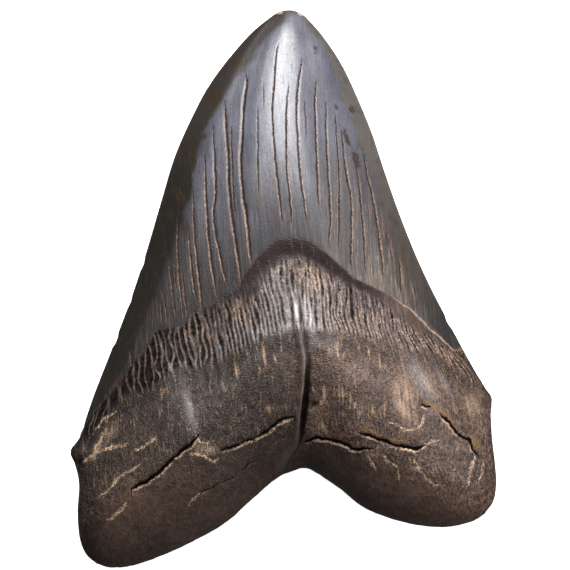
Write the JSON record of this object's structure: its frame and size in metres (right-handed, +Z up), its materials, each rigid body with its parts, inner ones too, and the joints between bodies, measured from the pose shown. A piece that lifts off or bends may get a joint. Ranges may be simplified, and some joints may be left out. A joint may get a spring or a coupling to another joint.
{
  "type": "megalodon tooth",
  "caption": "Large triangular fossil shark tooth, domed cracked enamel crown on a thick two-lobed root with a central groove, lying on its outer face.",
  "frame": {"origin": "on the surface the tooth lies on, under the middle of its bounding box", "axes": "+Z up, out of the domed inner (lingual) face; +Y from the root to the tip; +X to the right seen from above"},
  "size_m": [0.1062, 0.1395, 0.0281],
  "materials": {
    "fossil": "satin blue-grey enamel on a dark brown matt root"
  },
  "bodies": {
    "root": {"tooth": "fossil"}
  },
  "joints": []
}
